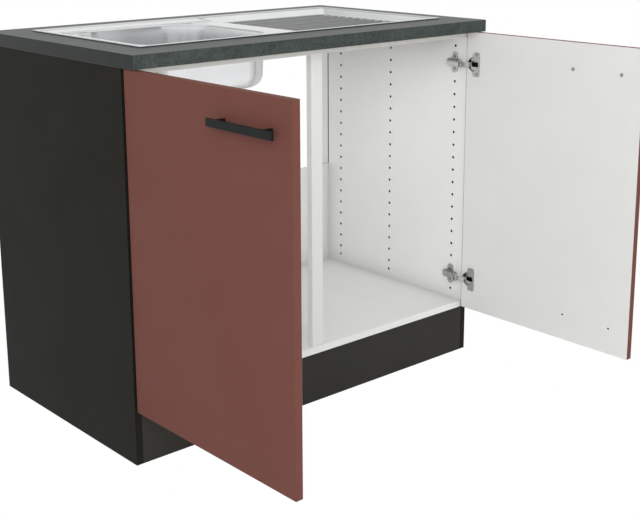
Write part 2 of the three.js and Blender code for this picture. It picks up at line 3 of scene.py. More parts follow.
import bmesh
import bpy
from mathutils import Matrix, Vector


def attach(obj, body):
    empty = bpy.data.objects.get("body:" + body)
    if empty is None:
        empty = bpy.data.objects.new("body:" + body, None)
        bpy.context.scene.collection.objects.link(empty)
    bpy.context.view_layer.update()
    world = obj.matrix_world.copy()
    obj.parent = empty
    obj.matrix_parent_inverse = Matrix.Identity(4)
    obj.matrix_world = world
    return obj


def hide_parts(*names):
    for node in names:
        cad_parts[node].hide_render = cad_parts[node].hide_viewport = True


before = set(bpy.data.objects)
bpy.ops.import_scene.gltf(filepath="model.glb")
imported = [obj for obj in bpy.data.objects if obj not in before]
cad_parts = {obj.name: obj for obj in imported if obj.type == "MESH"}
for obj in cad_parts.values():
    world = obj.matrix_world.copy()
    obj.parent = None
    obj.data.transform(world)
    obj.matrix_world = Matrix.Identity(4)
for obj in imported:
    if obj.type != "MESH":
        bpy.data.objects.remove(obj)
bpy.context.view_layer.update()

# Shapes are worked out in millimetres in the object's own frame. Finishes, lamps and the
# camera are in metres.

MM = 0.001

# ---------------------------------------------------------------- shader maths


def ink(red, green, blue):
    """A colour given as it looks on screen, 0 to 255, in the renderer's linear values."""
    def linear(level):
        level /= 255
        return level / 12.92 if level <= 0.04045 else ((level + 0.055) / 1.055) ** 2.4
    return (linear(red), linear(green), linear(blue), 1.0)


class Value:
    """An output socket that takes part in Python arithmetic."""

    def __init__(self, nodes, socket):
        self.nodes = nodes
        self.socket = socket

    def maths(self, operation, *terms):
        return self.nodes.node("ShaderNodeMath", dict(enumerate(terms)), operation=operation)

    def __add__(self, other):
        return self.maths("ADD", self, other)

    def __sub__(self, other):
        return self.maths("SUBTRACT", self, other)

    def __rsub__(self, other):
        return self.maths("SUBTRACT", other, self)

    def __mul__(self, other):
        return self.maths("MULTIPLY", self, other)

    def __gt__(self, other):
        return self.maths("GREATER_THAN", self, other)

    def __lt__(self, other):
        return self.maths("LESS_THAN", self, other)

    def __abs__(self):
        return self.maths("ABSOLUTE", self)

    __radd__ = __add__
    __rmul__ = __mul__

    def nearer(self, other):
        return self.maths("MINIMUM", self, other)

    def swing(self, top):
        """Rises from 0 to top and falls back, over and over."""
        return self.maths("PINGPONG", self, top)

    def between(self, low, high):
        """0 at low, 1 at high, straight in between and level outside."""
        inputs = {"Value": self, "From Min": low, "From Max": high}
        return self.nodes.node("ShaderNodeMapRange", inputs)


class Nodes:
    """The nodes of one material, or of the world."""

    def __init__(self, owner):
        owner.use_nodes = True
        self.tree = owner.node_tree

    def node(self, kind, inputs, output=0, **settings):
        made = self.tree.nodes.new(kind)
        for name, setting in settings.items():
            setattr(made, name, setting)
        for key, given in inputs.items():
            if isinstance(given, Value):
                self.tree.links.new(given.socket, made.inputs[key])
            else:
                made.inputs[key].default_value = given
        return Value(self, made.outputs[output])

    def seen_by(self, rays):
        """1 where the surface is met by rays of a kind, such as Camera."""
        return self.node("ShaderNodeLightPath", {}, output=f"Is {rays} Ray")


class Shade(Nodes):
    """A material built up node by node."""

    def __init__(self, name, roughness, metallic=0.0, sheen=0.5):
        self.material = bpy.data.materials.new(name)
        super().__init__(self.material)
        self.surface = self.tree.nodes["Principled BSDF"]
        self.surface.inputs["Roughness"].default_value = roughness
        self.surface.inputs["Metallic"].default_value = metallic
        self.surface.inputs["Specular IOR Level"].default_value = sheen
        self.place = self.node("ShaderNodeTexCoord", {}, output="Object")
        self.x = self.node("ShaderNodeSeparateXYZ", {0: self.place}, output="X")
        self.y = self.node("ShaderNodeSeparateXYZ", {0: self.place}, output="Y")
        self.z = self.node("ShaderNodeSeparateXYZ", {0: self.place}, output="Z")

    def noise(self, scale, detail=2.0, stretch=(1.0, 1.0, 1.0)):
        """Cloudy noise, in features per metre along each axis."""
        spread = tuple(scale * each for each in stretch)
        where = self.node("ShaderNodeVectorMath", {0: self.place, 1: spread}, operation="MULTIPLY")
        return self.node("ShaderNodeTexNoise", {"Vector": where, "Scale": 1.0, "Detail": detail})

    def cells(self, scale):
        """Flecks: a random level for each cell."""
        inputs = {"Vector": self.place, "Scale": scale}
        colour = self.node("ShaderNodeTexVoronoi", inputs, output="Color")
        return self.node("ShaderNodeSeparateXYZ", {0: colour})

    def mix(self, factor, first, second):
        inputs = {0: factor, 6: first, 7: second}
        return self.node("ShaderNodeMix", inputs, output=2, data_type="RGBA")

    def colour(self, value):
        self.tree.links.new(value.socket, self.surface.inputs["Base Color"])

    def roughness(self, value):
        self.tree.links.new(value.socket, self.surface.inputs["Roughness"])

    def relief(self, height, depth):
        """Raises the surface by depth millimetres where height is 1."""
        inputs = {"Height": height, "Distance": depth * MM, "Strength": 1.0}
        bump = self.node("ShaderNodeBump", inputs)
        self.tree.links.new(bump.socket, self.surface.inputs["Normal"])


# ---------------------------------------------------------------- finishes

WHITE = (226, 226, 224)
# Painted light: the carcass's white board, painted lighter where it faces into the cabinet, for the
# light there.
INSIDE_WHITE_PAINTED_LIGHT = (236, 236, 234)
GRAPHITE = (31, 30, 26)
# Painted light: the plinth is graphite board, painted a lighter grey for the light on its front
# near the floor.
PLINTH_PAINTED_LIGHT = (54, 53, 49)
CLAY = (112, 71, 63)
BOARD_SHEEN = 0.05
HOLE_COLUMNS = (0.029, 0.253, 0.445)
HOLE_PITCH = 0.032
LOWEST_HOLE = 0.180
HOLES_MIDDLE = 0.468
HOLES_REACH = 0.300
END_HOLES = 0.312
HOLE_SHADE_RADIUS = 0.0032
# Painted shade in the cabinet's inner corners: how far it reaches, and how much darker it gets.
PAINTED_CORNER_REACH = 0.06
PAINTED_CORNER_SHADE = -22
INNER_SIDE = 0.484
BACK_PANEL = 0.498
BACK_PANEL_TOP = 0.41


def tinted(colour, by):
    return ink(*(max(0, min(255, level + by)) for level in colour))


def chipboard(shade):
    """The raw core of a board: pressed chips of wood in several browns."""
    flakes_and_painted_shade = shade.cells(700.0) * 0.6 + shade.noise(2600.0, 3.0) * 0.4
    return shade.mix(flakes_and_painted_shade.between(0.2, 0.8), ink(128, 96, 62), ink(196, 164, 122))


def melamine(shade, colour):
    """A printed face with a faint cloudiness."""
    cloud = shade.noise(9.0, 4.0) * 0.6 + shade.noise(900.0, 2.0) * 0.4
    return shade.mix(cloud.between(0.3, 0.7), tinted(colour, -2), tinted(colour, 2))


def with_painted_corner_shade(shade, colour, *gaps):
    """A white face with painted shade, greyer over the last of each gap that closes towards an
    inner corner.
    """
    corner_shaded = melamine(shade, colour)
    for gap in gaps:
        near = gap.between(PAINTED_CORNER_REACH, 0.0)
        corner_shaded = shade.mix(near * near, corner_shaded, tinted(colour, PAINTED_CORNER_SHADE))
    return corner_shaded


def pearled(shade, roughness):
    """The finely pebbled skin of a faced board, rubbed a little smoother in patches."""
    shade.relief(shade.noise(1500.0, 2.0), 0.012)
    shade.roughness(shade.noise(6.0, 3.0).between(0.2, 0.8) * 0.08 + (roughness - 0.04))


def plain_board(name, colour):
    shade = Shade(name, 0.5, sheen=BOARD_SHEEN)
    shade.colour(melamine(shade, colour))
    pearled(shade, 0.5)
    return shade.material


def painted_hole_shade(shade, radius):
    """1 within radius of the middle of a hole in the side panels' three columns, where a ring of
    shade is painted.
    """
    from_middle = abs(shade.z - HOLES_MIDDLE)
    row = (shade.z - LOWEST_HOLE).swing(HOLE_PITCH / 2) + (from_middle > HOLES_REACH)
    up = row.nearer(abs(from_middle - END_HOLES))
    first, second, third = (abs(shade.y - column) for column in HOLE_COLUMNS)
    along = first.nearer(second).nearer(third)
    return along * along + up * up < radius * radius


def side_board():
    """White towards the cabinet, graphite outside and in front, raw behind; painted shade near
    black in the holes, the groove and a ring round each hole, and grey in the inner corners.
    """
    inner_face, inner_band, outer_face = 0.48425, 0.4849, 0.4996
    front_band, rear_edge = -0.0076, 0.545
    plinth_top = 0.1165
    shelf_middle, shelf_half = 0.124, 0.008
    shade = Shade("side_board", 0.5, sheen=BOARD_SHEEN)
    across = abs(shade.x)
    above_plinth = shade.z > plinth_top
    facing_in = (across < inner_face) * (above_plinth + (shade.y > 0.0) > 0.5)
    band_corner = (across < inner_band) * (shade.y < front_band) * above_plinth
    core = (across < outer_face) * (shade.y > front_band)
    # Painted shade: the core is near black in the holes and the groove; raw chipboard only behind.
    flakes_and_painted_shade = shade.mix(shade.y < rear_edge, chipboard(shade), ink(24, 20, 16))
    skin = shade.mix(core, melamine(shade, GRAPHITE), flakes_and_painted_shade)
    # Painted shade: a near-black ring round each hole.
    white = (facing_in + band_corner > 0.5) * (1 - painted_hole_shade(shade, HOLE_SHADE_RADIUS))
    # Painted shade greys the inner face towards the shelf and the back panel.
    to_shelf = abs(shade.z - shelf_middle) - shelf_half
    to_back = abs(shade.y - BACK_PANEL) + (shade.z > BACK_PANEL_TOP)
    inside = with_painted_corner_shade(shade, INSIDE_WHITE_PAINTED_LIGHT, to_shelf, to_back)
    shade.colour(shade.mix(white, skin, inside))
    pearled(shade, 0.5)
    return shade.material


def door_board():
    """Clay outside and on its edge bands, white inside, with painted shade, near black, in the
    holes.
    """
    inner_face, outer_face = 0.48035, 0.4957
    hinge_band, free_band = -0.0130, -0.5069
    foot_band, top_band = 0.1188, 0.8172
    shade = Shade("door_board", 0.5, sheen=BOARD_SHEEN)
    across = abs(shade.x)
    inside = across < inner_face
    within_bands = (shade.y < hinge_band) * (shade.y > free_band)
    within_bands = within_bands * (shade.z > foot_band) * (shade.z < top_band)
    core = within_bands * (across < outer_face)
    # Painted shade: the core, seen only in the holes, is near black.
    skin = shade.mix(core, melamine(shade, CLAY), ink(24, 20, 16))
    shade.colour(shade.mix(inside, skin, melamine(shade, WHITE)))
    pearled(shade, 0.5)
    return shade.material


def shelf_board():
    """White with a raw back edge; painted shadow greys the front band's ends at the side panels,
    and painted shade greys the inner corners.
    """
    front_band, joint_shadow_from, rear_edge = -0.0075, 0.4824, 0.5476
    shade = Shade("shelf_board", 0.5, sheen=BOARD_SHEEN)
    # Painted shadow of the joint gap at each end of the front band.
    joint_shadow_ends = (shade.y < front_band) * (abs(shade.x) > joint_shadow_from)
    gaps = INNER_SIDE - abs(shade.x), abs(shade.y - BACK_PANEL)
    white = shade.mix(joint_shadow_ends, with_painted_corner_shade(shade, INSIDE_WHITE_PAINTED_LIGHT, *gaps), ink(96, 88, 78))
    shade.colour(shade.mix(shade.y > rear_edge, white, chipboard(shade)))
    pearled(shade, 0.5)
    return shade.material


def back_board():
    """White in front with painted shade greying its inner corners, brown pressed fibre behind and
    on its edges.
    """
    white_face, shelf_top = 0.49665, 0.132
    shade = Shade("back_board", 0.55)
    fibre = shade.mix(shade.noise(500.0, 5.0), ink(132, 100, 68), ink(160, 126, 88))
    white = with_painted_corner_shade(shade, INSIDE_WHITE_PAINTED_LIGHT, INNER_SIDE - abs(shade.x), shade.z - shelf_top)
    shade.colour(shade.mix(shade.y < white_face, fibre, white))
    pearled(shade, 0.55)
    return shade.material


def stone_laminate():
    """Dark mottled stone with painted shade on its end faces, a darker copy of it, raw behind and
    in the cut-out, brown below.
    """
    side_end, rear_edge, underside = 0.4997, 0.5476, 0.8203
    shade = Shade("stone_laminate", 0.36, sheen=0.18)
    mottle = shade.noise(160.0, 6.0) * 0.6 + shade.noise(24.0, 4.0) * 0.4
    grain = shade.cells(850.0)
    ground = shade.mix(mottle.between(0.36, 0.64), ink(50, 56, 54), ink(73, 81, 78))
    stone = shade.mix((grain > 0.9) * 0.3, ground, ink(98, 106, 103))
    stone = shade.mix((grain < 0.07) * 0.5, stone, ink(32, 36, 35))
    # Painted shade: the end faces get a darker copy of the same stone.
    painted_shade_ends = shade.mix(mottle.between(0.36, 0.64), ink(20, 23, 22), ink(38, 43, 41))
    stone = shade.mix(abs(shade.x) > side_end, stone, painted_shade_ends)
    paper = shade.mix(shade.noise(300.0, 4.0), ink(120, 104, 84), ink(139, 122, 100))
    body = shade.mix(shade.y > rear_edge, stone, chipboard(shade))
    shade.colour(shade.mix(shade.z < underside, body, paper))
    shade.relief(mottle * 0.7 + grain * 0.3, 0.05)
    shade.roughness(mottle.between(0.3, 0.7) * 0.14 + 0.32)
    return shade.material


def sink_steel():
    """Stainless sheet with a linen-fine grain along the unit; over the ribbed floor a painted dark
    reflection, lighter along the rib crests.
    """
    floor_x, floor_y = 0.231, 0.257
    floor_half_length, floor_half_width = 0.1505, 0.166
    rib_pitch = 0.0275
    shade = Shade("sink_steel", 0.2, metallic=1.0)
    streaks = shade.noise(30.0, 4.0, stretch=(1.0, 30.0, 30.0))
    cloud = shade.noise(14.0, 3.0)
    bright = shade.mix(cloud.between(0.3, 0.7), ink(226, 227, 228), ink(235, 236, 237))
    from_rib = ((shade.y - floor_y) * (1 / rib_pitch) + 0.5).swing(0.5)
    scallop = (1 - 4 * from_rib * from_rib) * 0.008
    past_end = floor_half_length + scallop - abs(shade.x - floor_x)
    past_side = floor_half_width - abs(shade.y - floor_y)
    ribbed = past_end.between(0.0, 0.002) * past_side.between(0.0, 0.004)
    # Painted reflection: the rib field darker grey, with painted highlights along the crests.
    painted_rib_reflections = shade.mix(from_rib.between(0.05, 0.2), ink(158, 159, 160), ink(128, 129, 130))
    shade.colour(shade.mix(ribbed, bright, painted_rib_reflections))
    shade.relief(streaks, 0.0003)
    shade.roughness(streaks.between(0.3, 0.7) * 0.05 + cloud.between(0.3, 0.7) * 0.03 + 0.15)
    return shade.material


def nickel():
    """Plated hinge parts with tumbling marks, and painted shade, dark, down in the cups."""
    door_face, hinge_edge = 0.4822, -0.015
    shade = Shade("hinge_nickel", 0.28, metallic=1.0)
    wear = shade.noise(260.0, 5.0)
    plated = shade.mix(wear.between(0.3, 0.7), ink(172, 171, 168), ink(196, 195, 192))
    # Painted shade inside the cups.
    painted_cup_shade = (abs(shade.x) > door_face) * (shade.y < hinge_edge)
    shade.colour(shade.mix(painted_cup_shade, plated, ink(52, 51, 49)))
    shade.relief(shade.noise(1800.0, 3.0), 0.01)
    shade.roughness(wear.between(0.3, 0.7) * 0.12 + 0.22)
    return shade.material


def powder_coat():
    """Black coating with a fine orange peel."""
    shade = Shade("powder_coat", 0.42, sheen=0.12)
    peel = shade.noise(1300.0, 3.0)
    shade.colour(shade.mix(peel.between(0.3, 0.7), ink(20, 23, 23), ink(27, 30, 30)))
    shade.relief(peel, 0.03)
    shade.roughness(peel.between(0.3, 0.7) * 0.1 + 0.38)
    return shade.material


def moulded(name, colour, roughness):
    """Rubber or plastic with the matt grain of its mould."""
    shade = Shade(name, roughness)
    grain = shade.noise(1900.0, 3.0)
    shade.colour(shade.mix(grain.between(0.3, 0.7), tinted(colour, -3), tinted(colour, 3)))
    shade.relief(grain, 0.03)
    shade.roughness(shade.noise(40.0, 2.0) * 0.1 + (roughness - 0.05))
    return shade.material


SIDE = side_board()
DOOR = door_board()
SHELF = shelf_board()
BACK = back_board()
STONE = stone_laminate()
STEEL = sink_steel()
NICKEL = nickel()
BLACK = powder_coat()
WHITE_BOARD = plain_board("white_board", WHITE)
# The plinth's graphite board, painted lighter: painted light.
PLINTH = plain_board("plinth_graphite_painted_light", PLINTH_PAINTED_LIGHT)
RUBBER = moulded("seal_rubber", (38, 38, 38), 0.75)
PLASTIC = moulded("waste_plastic", (48, 48, 49), 0.5)

# ---------------------------------------------------------------- making pieces


def finished(name, shape, material, body, stands_for=()):
    """Makes a worked-up shape a named piece that moves with a body."""
    bmesh.ops.scale(shape, vec=(MM, MM, MM), verts=shape.verts)
    mesh = bpy.data.meshes.new(name)
    shape.to_mesh(mesh)
    shape.free()
    mesh.materials.append(material)
    piece = bpy.data.objects.new(name, mesh)
    bpy.context.scene.collection.objects.link(piece)
    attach(piece, body)
    if stands_for:
        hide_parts(*stands_for)
    return piece


HARD_EDGE = 35


def turn_between(edge):
    """The angle in degrees by which the surface turns over an edge."""
    return math.degrees(edge.calc_face_angle(0.0))


def refined(node, material, body, bevel, segments=2, least=0):
    """The CAD node's own shape with clean faces; edges longer than least are softened."""
    shape = bmesh.new()
    shape.from_mesh(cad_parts[node].data)
    bmesh.ops.scale(shape, vec=(1000, 1000, 1000), verts=shape.verts)
    bmesh.ops.remove_doubles(shape, verts=shape.verts, dist=0.002)
    bmesh.ops.dissolve_limit(
        shape, angle_limit=math.radians(0.5), verts=shape.verts, edges=shape.edges,
        use_dissolve_boundaries=False, delimit=set())
    bmesh.ops.recalc_face_normals(shape, faces=shape.faces)
    for face in shape.faces:
        face.smooth = any(1 < turn_between(edge) < HARD_EDGE for edge in face.edges)
    hard = [edge for edge in shape.edges if turn_between(edge) >= HARD_EDGE]
    hard = [edge for edge in hard if edge.calc_length() > least]
    rounded = bmesh.ops.bevel(
        shape, geom=hard, offset=bevel, segments=segments, profile=0.5,
        affect="EDGES", offset_type="OFFSET", clamp_overlap=True, material=-1)
    for face in rounded["faces"]:
        face.smooth = True
    return finished(node + "_piece", shape, material, body, [node])


BOARDS = [
    ("side_panel_right", SIDE, "graphite_board", 0.4),
    ("side_panel_left", SIDE, "graphite_board", 0.4),
    ("plinth_board", PLINTH, "graphite_board", 0.4),
    ("bottom_shelf", SHELF, "white_board", 0.4),
    ("back_panel", BACK, "white_board", 0.2),
    ("front_rail", WHITE_BOARD, "white_board", 0.4),
    ("rear_rail", WHITE_BOARD, "white_board", 0.4),
    ("centre_post", WHITE_BOARD, "white_board", 0.5),
    ("worktop", STONE, "stone_laminate", 0.8),
]
for node, material, slot, bevel in BOARDS:
    refined(node, material, "carcass", bevel, least=12)

for hand in ("right", "left"):
    refined(f"door_{hand}", DOOR, f"{hand}_door", 0.4)
    refined(f"handle_{hand}", BLACK, f"{hand}_door", 0.7, 3)

for place in ("left_front", "left_rear", "right_front", "right_rear", "rear_left", "rear_right"):
    refined(f"sink_clamp_{place}", NICKEL, "carcass", 0.15, 1)
refined("sink_seal", RUBBER, "carcass", 0.1, 1)

# ---------------------------------------------------------------- sink

SINK = (-424.0, 436.0, 39.0, 474.0)
SINK_CORNER = 3.0
PLATE = 849.7
RIM = 1.6
SKIRT_FOOT = 848.15
SHEET = 1.0
SURROUND = (-404.0, 66.0, 52.0, 396.0)
SURROUND_CORNER = 22.0
LEDGE = 3.0
BOWL = (-394.0, -54.0, 56.0, 392.0)
BOWL_CORNER = 85.0
LIP = 4.5
LIP_OVERHANG = 2.2
BOWL_FLOOR = 732.0
FLOOR_RADIUS = 26.0
DRAFT = 6.0
PAN = (5.0, 422.0, 58.0, 456.0)
PAN_SLOPES = (50.0, 14.0, 16.0, 16.0)
PAN_DEPTH = 15.0
RIBS = 12
RIB_PITCH = 27.5
RIB_ENDS = (78.5, 383.5)
RIB_HALF = 7.0
RIB_RISE = 3.5
HOLE = (-402.4, -42.0, 53.0, 395.0)
WASTE = (-224.0, 224.0, 729.0)
WASTE_SEAT = [
    (59.2, 731.7), (58.6, 731.2), (58.0, 730.2), (57.4, 729.3), (56.4, 729.0), (46.0, 729.0),
]


def outside(x, y, box, corner):
    """How far a point lies outside a box with round corners; inside is negative."""
    left, right, front, back = box
    across = abs(x - (left + right) / 2) - (right - left) / 2 + corner
    along = abs(y - (front + back) / 2) - (back - front) / 2 + corner
    beyond = math.hypot(max(across, 0.0), max(along, 0.0))
    return beyond + min(max(across, along), 0.0) - corner


def eased(t):
    t = max(0.0, min(1.0, t))
    return t * t * (3 - 2 * t)


def soft_step(t, ease=0.16):
    """A ramp from 0 to 1 with its two ends rounded."""
    def bent(s):
        if s <= -ease:
            return 0.0
        return s if s >= ease else (s + ease) ** 2 / (4 * ease)
    return bent(t) - bent(t - 1)


def soft_least(first, second, blend):
    near = max(blend - abs(first - second), 0.0) / blend
    return min(first, second) - near * near * blend / 4


def rim_height(inwards):
    """The raised rim: round shoulder, gently crowned top, and a slope to the plate."""
    if inwards < 1.0:
        return RIM - 0.7 * (1 - math.sqrt(max(0.0, 1 - (1 - inwards) ** 2)))
    return RIM * (1 - eased((inwards - 6.6) / 3.2))


def rib_height(x, y):
    middle = (PAN[2] + PAN[3]) / 2
    nearest = round((y - middle) / RIB_PITCH + (RIBS - 1) / 2)
    line = middle + (max(0, min(RIBS - 1, nearest)) - (RIBS - 1) / 2) * RIB_PITCH
    past = x - max(RIB_ENDS[0], min(RIB_ENDS[1], x))
    away = math.hypot(past, y - line)
    if away >= RIB_HALF:
        return 0.0
    return RIB_RISE * 0.5 * (1 + math.cos(math.pi * away / RIB_HALF))


def sink_height(x, y):
    """The top surface of the pressing, outside the bowl."""
    step = LEDGE * eased((0.9 - outside(x, y, SURROUND, SURROUND_CORNER)) / 1.8)
    left, right, front, back = PAN
    sides = zip((x - left, right - x, y - front, back - y), PAN_SLOPES)
    depths = [distance / slope for distance, slope in sides]
    lengthways = soft_least(depths[0], depths[1], 0.5)
    ramp = soft_least(lengthways, soft_least(depths[2], depths[3], 0.5), 0.7)
    pan = PAN_DEPTH * soft_step(ramp)
    near = min(2.0, max(step, pan))
    depth = -soft_least(-step, -pan, near) if near > 0 else 0.0
    return PLATE + rim_height(-outside(x, y, SINK, SINK_CORNER)) - depth + rib_height(x, y)


def run(start, end, pitch):
    """Evenly spaced lines from start up to, and without, end."""
    count = max(1, round((end - start) / pitch))
    return [start + (end - start) * i / count for i in range(count)]


EDGE = [0.0, 0.25, 0.6, 1.1, 2.2, 4.5, 6.4, 7.2, 8.0, 8.8, 9.8]


def sink_lines():
    """Where the pressing is sampled: close together over its folds, wide apart on its flats."""
    left, right, front, back = SINK
    xs = [left + e for e in EDGE] + run(-413.2, -405.4, 3) + run(-405.4, HOLE[0], 0.5)
    xs += run(HOLE[0], HOLE[1], 6.4) + run(HOLE[1], 0, 5) + run(0, 54, 3) + run(54, 70, 2)
    xs += run(70, 84, 1.4) + run(84, 378, 12) + run(378, 392, 1.4) + run(392, 425.5, 1.6)
    xs += [right - e for e in reversed(EDGE)]
    ys = [front + e for e in EDGE] + run(49.6, 50.8, 0.6) + run(50.8, HOLE[2], 0.36)
    ys += run(HOLE[2], 97, 2.2) + run(97, HOLE[3], 2.05) + run(HOLE[3], 397.6, 0.5)
    ys += run(397.6, 436, 2.4) + run(436, 463.4, 1.7)
    ys += [back - e for e in reversed(EDGE)]
    return xs, ys


def rounded_corner(x, y):
    """Draws the square corners of the grid in to the sink's round ones."""
    left, right, front, back = SINK
    core_x = max(left + SINK_CORNER, min(right - SINK_CORNER, x))
    core_y = max(front + SINK_CORNER, min(back - SINK_CORNER, y))
    across = (x - core_x) / SINK_CORNER
    along = (y - core_y) / SINK_CORNER
    drawn_x = across * math.sqrt(1 - along * along / 2)
    drawn_y = along * math.sqrt(1 - across * across / 2)
    return core_x + drawn_x * SINK_CORNER, core_y + drawn_y * SINK_CORNER


def bowl_rings():
    """The bowl from its lip to the waste hole, as (box, corner radius, height); a ring with no
    box is round and its corner radius is its radius."""
    def ring(out_x, out_y, z):
        left, right, front, back = BOWL
        box = (left - out_x, right + out_x, front - out_y, back + out_y)
        return box, BOWL_CORNER + (out_x + out_y) / 2, z
    ledge = PLATE - LEDGE
    rings = []
    for i in range(7):
        turn = math.radians(i * 15)
        out = 1 - math.sin(turn)
        rings.append(ring(LIP * out, LIP_OVERHANG * out, ledge - LIP * (1 - math.cos(turn))))
    wall_end = BOWL_FLOOR + FLOOR_RADIUS
    for i in range(1, 8):
        z = ledge - LIP + (wall_end - ledge + LIP) * i / 8
        inset = DRAFT * (PLATE - z) / (PLATE - BOWL_FLOOR)
        rings.append(ring(-inset, -inset, z))
    for i in range(9):
        turn = math.radians(i * 90 / 8)
        z = BOWL_FLOOR + FLOOR_RADIUS * (1 - math.sin(turn))
        inset = DRAFT * (PLATE - z) / (PLATE - BOWL_FLOOR) + FLOOR_RADIUS * (1 - math.cos(turn))
        rings.append(ring(-inset, -inset, z))
    for radius, z in WASTE_SEAT:
        rings.append((None, radius, z))
    return rings


def ring_reach(box, corner, angle):
    """Distance from the bowl's middle to a ring's outline in some direction."""
    if box is None:
        return corner
    middle = ((BOWL[0] + BOWL[1]) / 2, (BOWL[2] + BOWL[3]) / 2)
    near, far = 0.0, 400.0
    for _ in range(26):
        reach = (near + far) / 2
        x, y = middle[0] + reach * math.cos(angle), middle[1] + reach * math.sin(angle)
        if outside(x, y, box, corner) < 0:
            near = reach
        else:
            far = reach
    return near


def parts_of(geometry, kind):
    return [part for part in geometry if isinstance(part, kind)]


def pulled(shape, edges, placed):
    """Draws a new edge loop out of an open one; placed gives each vertex its new place."""
    drawn = bmesh.ops.extrude_edge_only(shape, edges=edges)["geom"]
    verts = parts_of(drawn, bmesh.types.BMVert)
    for vert in verts:
        vert.co = placed(vert.co)
    ring = set(verts)
    return [edge for edge in parts_of(drawn, bmesh.types.BMEdge) if ring.issuperset(edge.verts)]


def sink_shape():
    """A grid laid over the sink's outline; the bowl and the skirt are drawn out of its edges."""
    shape = bmesh.new()
    xs, ys = sink_lines()
    bmesh.ops.create_grid(shape, x_segments=len(xs) - 1, y_segments=len(ys) - 1, size=1)
    for index, vert in enumerate(shape.verts):
        row, column = divmod(index, len(xs))
        x, y = rounded_corner(xs[column], ys[row])
        vert.co = (x, y, sink_height(x, y))
    left, right, front, back = HOLE

    def over_bowl(spot):
        return left - 0.1 < spot.x < right + 0.1 and front - 0.1 < spot.y < back + 0.1

    lid = [face for face in shape.faces if all(over_bowl(vert.co) for vert in face.verts)]
    bmesh.ops.delete(shape, geom=lid, context="FACES")
    middle = Vector(((BOWL[0] + BOWL[1]) / 2, (BOWL[2] + BOWL[3]) / 2))
    rims = [edge for edge in shape.edges if edge.is_boundary]
    ring = [edge for edge in rims if over_bowl(edge.verts[0].co)]
    outline = [edge for edge in rims if not over_bowl(edge.verts[0].co)]
    for box, corner, z in bowl_rings():
        def on_ring(spot):
            angle = math.atan2(spot.y - middle.y, spot.x - middle.x)
            reach = ring_reach(box, corner, angle)
            return middle.x + reach * math.cos(angle), middle.y + reach * math.sin(angle), z
        ring = pulled(shape, ring, on_ring)
    pulled(shape, outline, lambda spot: (spot.x, spot.y, SKIRT_FOOT))
    bmesh.ops.recalc_face_normals(shape, faces=shape.faces)
    if max(shape.faces, key=lambda face: face.calc_area()).normal.z < 0:
        bmesh.ops.reverse_faces(shape, faces=shape.faces)
    for face in shape.faces:
        face.smooth = True
    return shape


sink = finished("sink_pressing", sink_shape(), STEEL, "carcass", ["sink"])
sheet = sink.modifiers.new("sheet", "SOLIDIFY")
sheet.thickness = SHEET * MM
sheet.offset = -1

# ---------------------------------------------------------------- turned pieces


def turned(shape, profile, steps=64):
    """Spins [radius, height] pairs about the z axis and adds them to a shape."""
    verts = [shape.verts.new((radius, 0, z)) for radius, z in profile]
    edges = [shape.edges.new(pair) for pair in zip(verts, verts[1:])]
    bmesh.ops.spin(
        shape, geom=verts + edges, cent=(0, 0, 0), axis=(0, 0, 1), angle=math.tau,
        steps=steps, use_merge=True)


def smooth_with_creases(shape, crease=40):
    bmesh.ops.remove_doubles(shape, verts=shape.verts, dist=0.001)
    bmesh.ops.recalc_face_normals(shape, faces=shape.faces)
    for face in shape.faces:
        face.smooth = True
    for edge in shape.edges:
        edge.smooth = turn_between(edge) < crease


def waste_piece(name, profile, material, body, node):
    shape = bmesh.new()
    turned(shape, profile)
    smooth_with_creases(shape)
    bmesh.ops.translate(shape, vec=WASTE, verts=shape.verts)
    return finished(name, shape, material, body, [node])


waste_piece("waste_ring", [
    (41, -9), (44.8, -9), (44.8, 0), (56, 0), (55.7, 0.6), (54.6, 1.2), (48, 1.6), (44.8, 1.5),
    (43.3, 0.9), (42.8, 0), (42.8, -3.1), (41, -3.1), (41, -9),
], STEEL, "carcass", "waste_flange")
waste_piece("waste_gasket", [
    (46, -4), (56, -4), (56, -1), (46, -1), (46, -4),
], RUBBER, "carcass", "waste_seal")


def waste_chamber():
    """Collar, tapered chamber, and an outlet with a real thread."""
    shape = bmesh.new()
    turned(shape, [
        (20, -86), (22.4, -86), (23, -85.4), (23, -57), (26, -54.8), (35.6, -54), (37.4, -53.4),
        (43, -46), (47.2, -14), (47.6, -12.6), (55.4, -12.4), (56, -11.8), (56, -4.4), (55.6, -4),
        (45.4, -4), (45.4, -14), (40.5, -45), (34, -51), (20, -54), (20, -86),
    ])
    smooth_with_creases(shape)
    section = [(22.8, -85.7), (24.1, -84.8), (24.1, -84.2), (22.8, -83.3)]
    turns, steps = 5, 40
    verts = [shape.verts.new((radius, 0, z)) for radius, z in section]
    edges = [shape.edges.new((verts[i - 1], verts[i])) for i in range(len(verts))]
    before = set(shape.faces)
    last = bmesh.ops.spin(
        shape, geom=verts + edges, cent=(0, 0, 0), axis=(0, 0, 1), dvec=(0, 0, 3.6 / steps),
        angle=math.tau * turns, steps=turns * steps)["geom_last"]
    for face in set(shape.faces) - before:
        face.smooth = True
    for end in (edges, parts_of(last, bmesh.types.BMEdge)):
        bmesh.ops.contextual_create(shape, geom=end)
    bmesh.ops.recalc_face_normals(shape, faces=shape.faces)
    bmesh.ops.translate(shape, vec=WASTE, verts=shape.verts)
    return shape


finished("waste_chamber", waste_chamber(), PLASTIC, "carcass", ["waste_body"])


